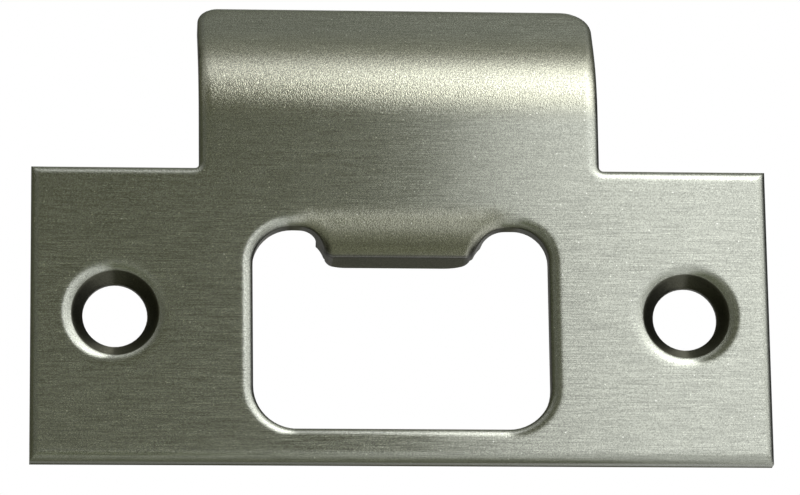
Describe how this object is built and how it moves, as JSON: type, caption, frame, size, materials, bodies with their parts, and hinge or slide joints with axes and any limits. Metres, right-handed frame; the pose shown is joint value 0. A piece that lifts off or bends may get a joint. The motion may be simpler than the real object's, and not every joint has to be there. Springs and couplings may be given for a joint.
{
  "type": "door strike plate",
  "caption": "Flat T-shaped metal strike plate with a curved lip, a latch opening with a pressed-back tongue, and countersunk screw holes.",
  "frame": {"origin": "midway between the two screw holes, on the back face that lies on the jamb", "axes": "+X along the plate from one screw hole to the other, +Z towards the lip, -Y out of the front face"},
  "size_m": [0.0698, 0.0074, 0.0461],
  "materials": {
    "satin_metal": "satin, brushed along the plate's length"
  },
  "bodies": {
    "root": {"strike_plate": "satin_metal"}
  },
  "joints": []
}
